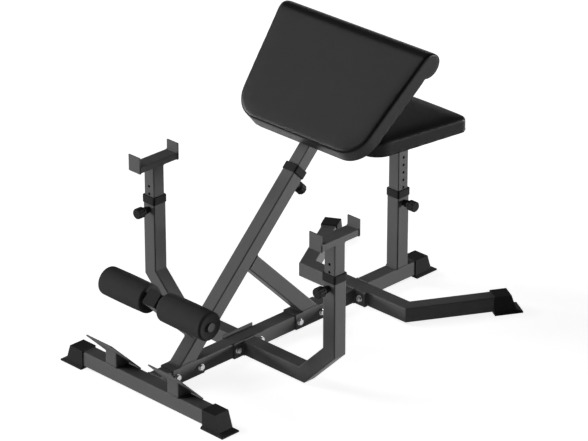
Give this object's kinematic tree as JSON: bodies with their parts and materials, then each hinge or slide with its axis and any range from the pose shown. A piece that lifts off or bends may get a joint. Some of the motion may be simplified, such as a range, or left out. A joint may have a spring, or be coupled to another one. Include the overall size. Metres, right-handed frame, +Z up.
{
  "type": "preacher curl bench",
  "caption": "Preacher curl bench of square steel tube with a sliding sloped arm pad, sliding seat, adjustable bar rests, foam ankle rollers and foot plates.",
  "frame": {"origin": "on the floor under the middle of the bench's box", "axes": "+Z up, +Y along the bench from the front bar to the seat, X across"},
  "size_m": [0.8776, 1.334, 0.9442],
  "materials": {
    "powder_coat": "satin powder coat",
    "cap_plastic": "moulded, matte",
    "knob_plastic": "moulded, satin",
    "zinc_steel": "zinc plated",
    "foam": "closed-cell foam, matte",
    "vinyl": "grained vinyl, satin",
    "plywood": "raw plywood"
  },
  "bodies": {
    "frame": {"front_bar": "powder_coat", "foot_stubs": "powder_coat", "foot_plate_left": "powder_coat", "foot_plate_right": "powder_coat", "main_rail": "powder_coat", "flange_plates": "powder_coat", "column_saddle": "powder_coat", "brace_saddle": "powder_coat", "rack_saddle": "powder_coat", "column_tube": "powder_coat", "brace_tube": "powder_coat", "roller_arm": "powder_coat", "rack_arm_left": "powder_coat", "rack_arm_right": "powder_coat", "rear_bar": "powder_coat", "rear_leg_left": "powder_coat", "rear_leg_right": "powder_coat", "rear_leg_middle": "powder_coat", "seat_post": "powder_coat", "pin_bosses": "cap_plastic", "roller_axle": "powder_coat", "axle_caps": "powder_coat", "front_cap_left": "cap_plastic", "front_cap_right": "cap_plastic", "rear_cap_left": "cap_plastic", "rear_cap_right": "cap_plastic", "rear_cap_middle": "cap_plastic", "column_collar": "cap_plastic", "seat_collar": "cap_plastic", "rack_left_collar": "cap_plastic", "rack_right_collar": "cap_plastic", "arm_plug": "cap_plastic", "flange_bolts": "zinc_steel", "saddle_bolts": "zinc_steel"},
    "left_roller": {"roller_left": "foam"},
    "right_roller": {"roller_right": "foam"},
    "arm_pad": {"pad_tube": "powder_coat", "pad_tube_plug": "cap_plastic", "pad_carriers": "powder_coat", "carrier_plugs": "cap_plastic", "pad_bolts": "zinc_steel", "pad_board": "plywood", "pad_cushion": "vinyl"},
    "seat": {"seat_tube": "powder_coat", "seat_plate": "powder_coat", "seat_bolts": "zinc_steel", "seat_board": "plywood", "seat_cushion": "vinyl"},
    "left_rest": {"rest_tube_left": "powder_coat", "bar_rest_left": "powder_coat"},
    "right_rest": {"rest_tube_right": "powder_coat", "bar_rest_right": "powder_coat"},
    "pad_lock": {"knob_column": "knob_plastic", "pin_column": "zinc_steel"},
    "seat_lock": {"knob_seat": "knob_plastic", "pin_seat": "zinc_steel"},
    "rest_lock_left": {"knob_rack_left": "knob_plastic", "pin_rack_left": "zinc_steel"},
    "rest_lock_right": {"knob_rack_right": "knob_plastic", "pin_rack_right": "zinc_steel"}
  },
  "joints": [
    {"name": "left_roller_spin", "type": "hinge", "parent": "frame", "child": "left_roller", "pos_m": [0, -0.54175, 0.29352], "axis": [1, 0, 0], "continuous": true},
    {"name": "right_roller_spin", "type": "hinge", "parent": "frame", "child": "right_roller", "pos_m": [0, -0.54175, 0.29352], "axis": [1, 0, 0], "continuous": true},
    {"name": "pad_slide", "type": "slide", "parent": "frame", "child": "arm_pad", "axis": [0, 0.7071, 0.7071], "range_m": [-0.104, 0.078]},
    {"name": "seat_slide", "type": "slide", "parent": "frame", "child": "seat", "axis": [0, 0, 1], "range_m": [-0.156, 0.026]},
    {"name": "left_rest_slide", "type": "slide", "parent": "frame", "child": "left_rest", "axis": [0, 0, 1], "range_m": [-0.078, 0.078]},
    {"name": "right_rest_slide", "type": "slide", "parent": "frame", "child": "right_rest", "axis": [0, 0, 1], "range_m": [-0.078, 0.078]},
    {"name": "pad_lock_pull", "type": "slide", "parent": "frame", "child": "pad_lock", "axis": [0, 0.7071, -0.7071], "range_m": [-0.008, 0.004], "stiffness_N_per_m": 400, "springref_m": -0.008},
    {"name": "seat_lock_pull", "type": "slide", "parent": "frame", "child": "seat_lock", "axis": [1, 0, 0], "range_m": [-0.008, 0.004], "stiffness_N_per_m": 400, "springref_m": -0.008},
    {"name": "rest_lock_left_pull", "type": "slide", "parent": "frame", "child": "rest_lock_left", "axis": [0, -1, 0], "range_m": [-0.008, 0.004], "stiffness_N_per_m": 400, "springref_m": -0.008},
    {"name": "rest_lock_right_pull", "type": "slide", "parent": "frame", "child": "rest_lock_right", "axis": [0, -1, 0], "range_m": [-0.008, 0.004], "stiffness_N_per_m": 400, "springref_m": -0.008}
  ]
}
